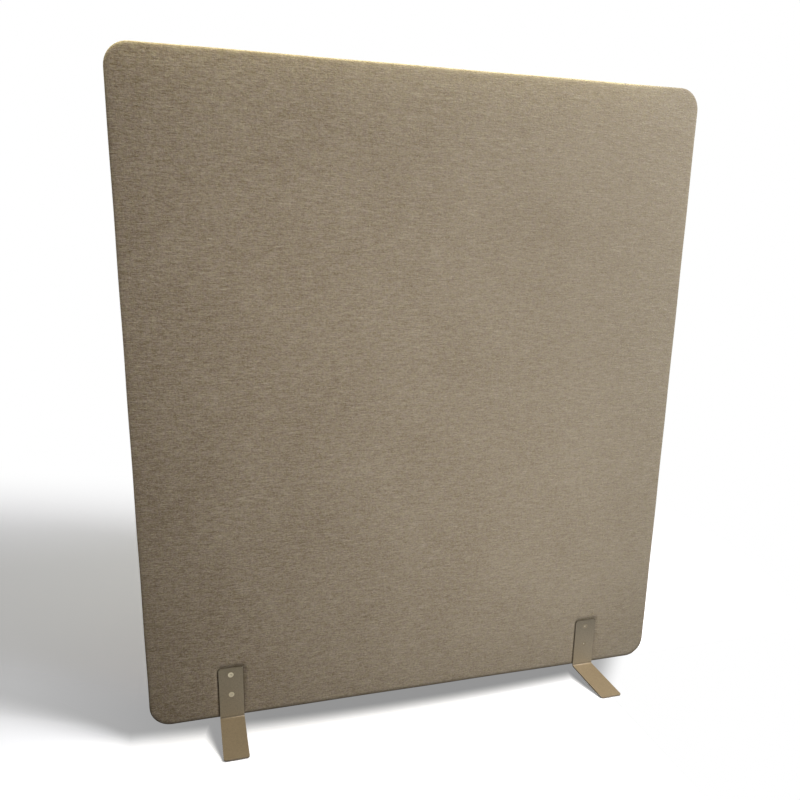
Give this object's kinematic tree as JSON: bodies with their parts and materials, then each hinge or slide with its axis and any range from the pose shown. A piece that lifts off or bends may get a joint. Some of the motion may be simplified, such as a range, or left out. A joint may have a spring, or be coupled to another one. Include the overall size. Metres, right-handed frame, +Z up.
{
  "type": "acoustic divider screen",
  "caption": "Free-standing acoustic divider screen: a padded, cloth-covered rectangular panel with round corners, held upright by bent flat-steel feet at front and back.",
  "frame": {"origin": "on the floor, under the middle of the panel", "axes": "+Z up along the panel's height, +X to the right along its width as seen from the front, +Y towards the back, through its thickness"},
  "size_m": [1.2, 0.326, 1.356],
  "materials": {
    "cover_cloth": "matte",
    "seam_thread": "matte",
    "closing_strip": "matte",
    "wadding": "matte",
    "acoustic_batt": "matte",
    "frame_timber": "matte",
    "block_plywood": "matte",
    "dowel_beech": "matte",
    "foot_steel": "satin",
    "screw_steel": "satin",
    "plated_steel": "satin",
    "insert_brass": "satin",
    "foot_pad": "matte"
  },
  "bodies": {
    "root": {"left_stile": "frame_timber", "right_stile": "frame_timber", "top_rail": "frame_timber", "middle_rail": "frame_timber", "bottom_rail": "frame_timber", "top_rail_dowels": "dowel_beech", "middle_rail_dowels": "dowel_beech", "bottom_rail_dowels": "dowel_beech", "left_foot_block": "block_plywood", "right_foot_block": "block_plywood", "left_block_screws": "plated_steel", "right_block_screws": "plated_steel", "left_inserts": "insert_brass", "right_inserts": "insert_brass", "upper_core": "acoustic_batt", "lower_core": "acoustic_batt", "front_wadding": "wadding", "back_wadding": "wadding", "front_cover": "cover_cloth", "back_cover": "cover_cloth", "seam_thread": "seam_thread", "closing_strip": "closing_strip", "closing_staples": "plated_steel", "left_front_foot": "foot_steel", "right_front_foot": "foot_steel", "left_back_foot": "foot_steel", "right_back_foot": "foot_steel", "left_front_screws": "screw_steel", "right_front_screws": "screw_steel", "left_back_screws": "screw_steel", "right_back_screws": "screw_steel", "left_front_pad": "foot_pad", "right_front_pad": "foot_pad", "left_back_pad": "foot_pad", "right_back_pad": "foot_pad"}
  },
  "joints": []
}
